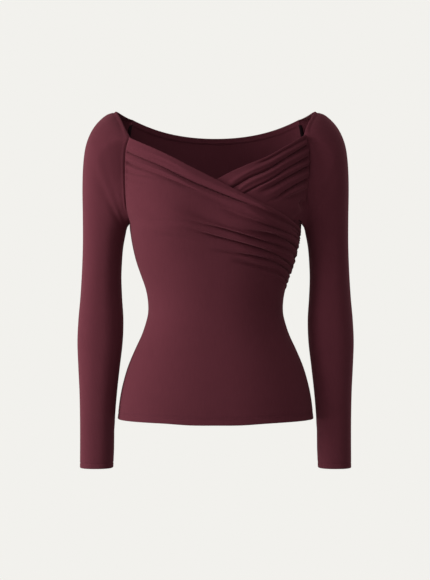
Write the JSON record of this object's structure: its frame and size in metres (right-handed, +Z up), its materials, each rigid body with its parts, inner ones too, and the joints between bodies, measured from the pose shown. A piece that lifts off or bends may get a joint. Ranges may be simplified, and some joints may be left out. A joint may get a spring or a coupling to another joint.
{
  "type": "wrap top",
  "caption": "Long-sleeved jersey wrap top with a slanting overlapping front, gathered side seam and wide scooped neckline.",
  "frame": {"origin": "midway between the two shoulder tops, where the wearer's shoulders hold the garment", "axes": "+Z up along the body, +Y from the front to the back, +X from the wearer's right to the wearer's left"},
  "size_m": [0.4702, 0.23, 0.6053],
  "materials": {
    "jersey": "matte burgundy knitted jersey with a soft pile"
  },
  "bodies": {
    "root": {"front_overlap": "jersey", "front_underlap": "jersey", "back": "jersey", "sleeve_right": "jersey", "sleeve_left": "jersey"}
  },
  "joints": []
}
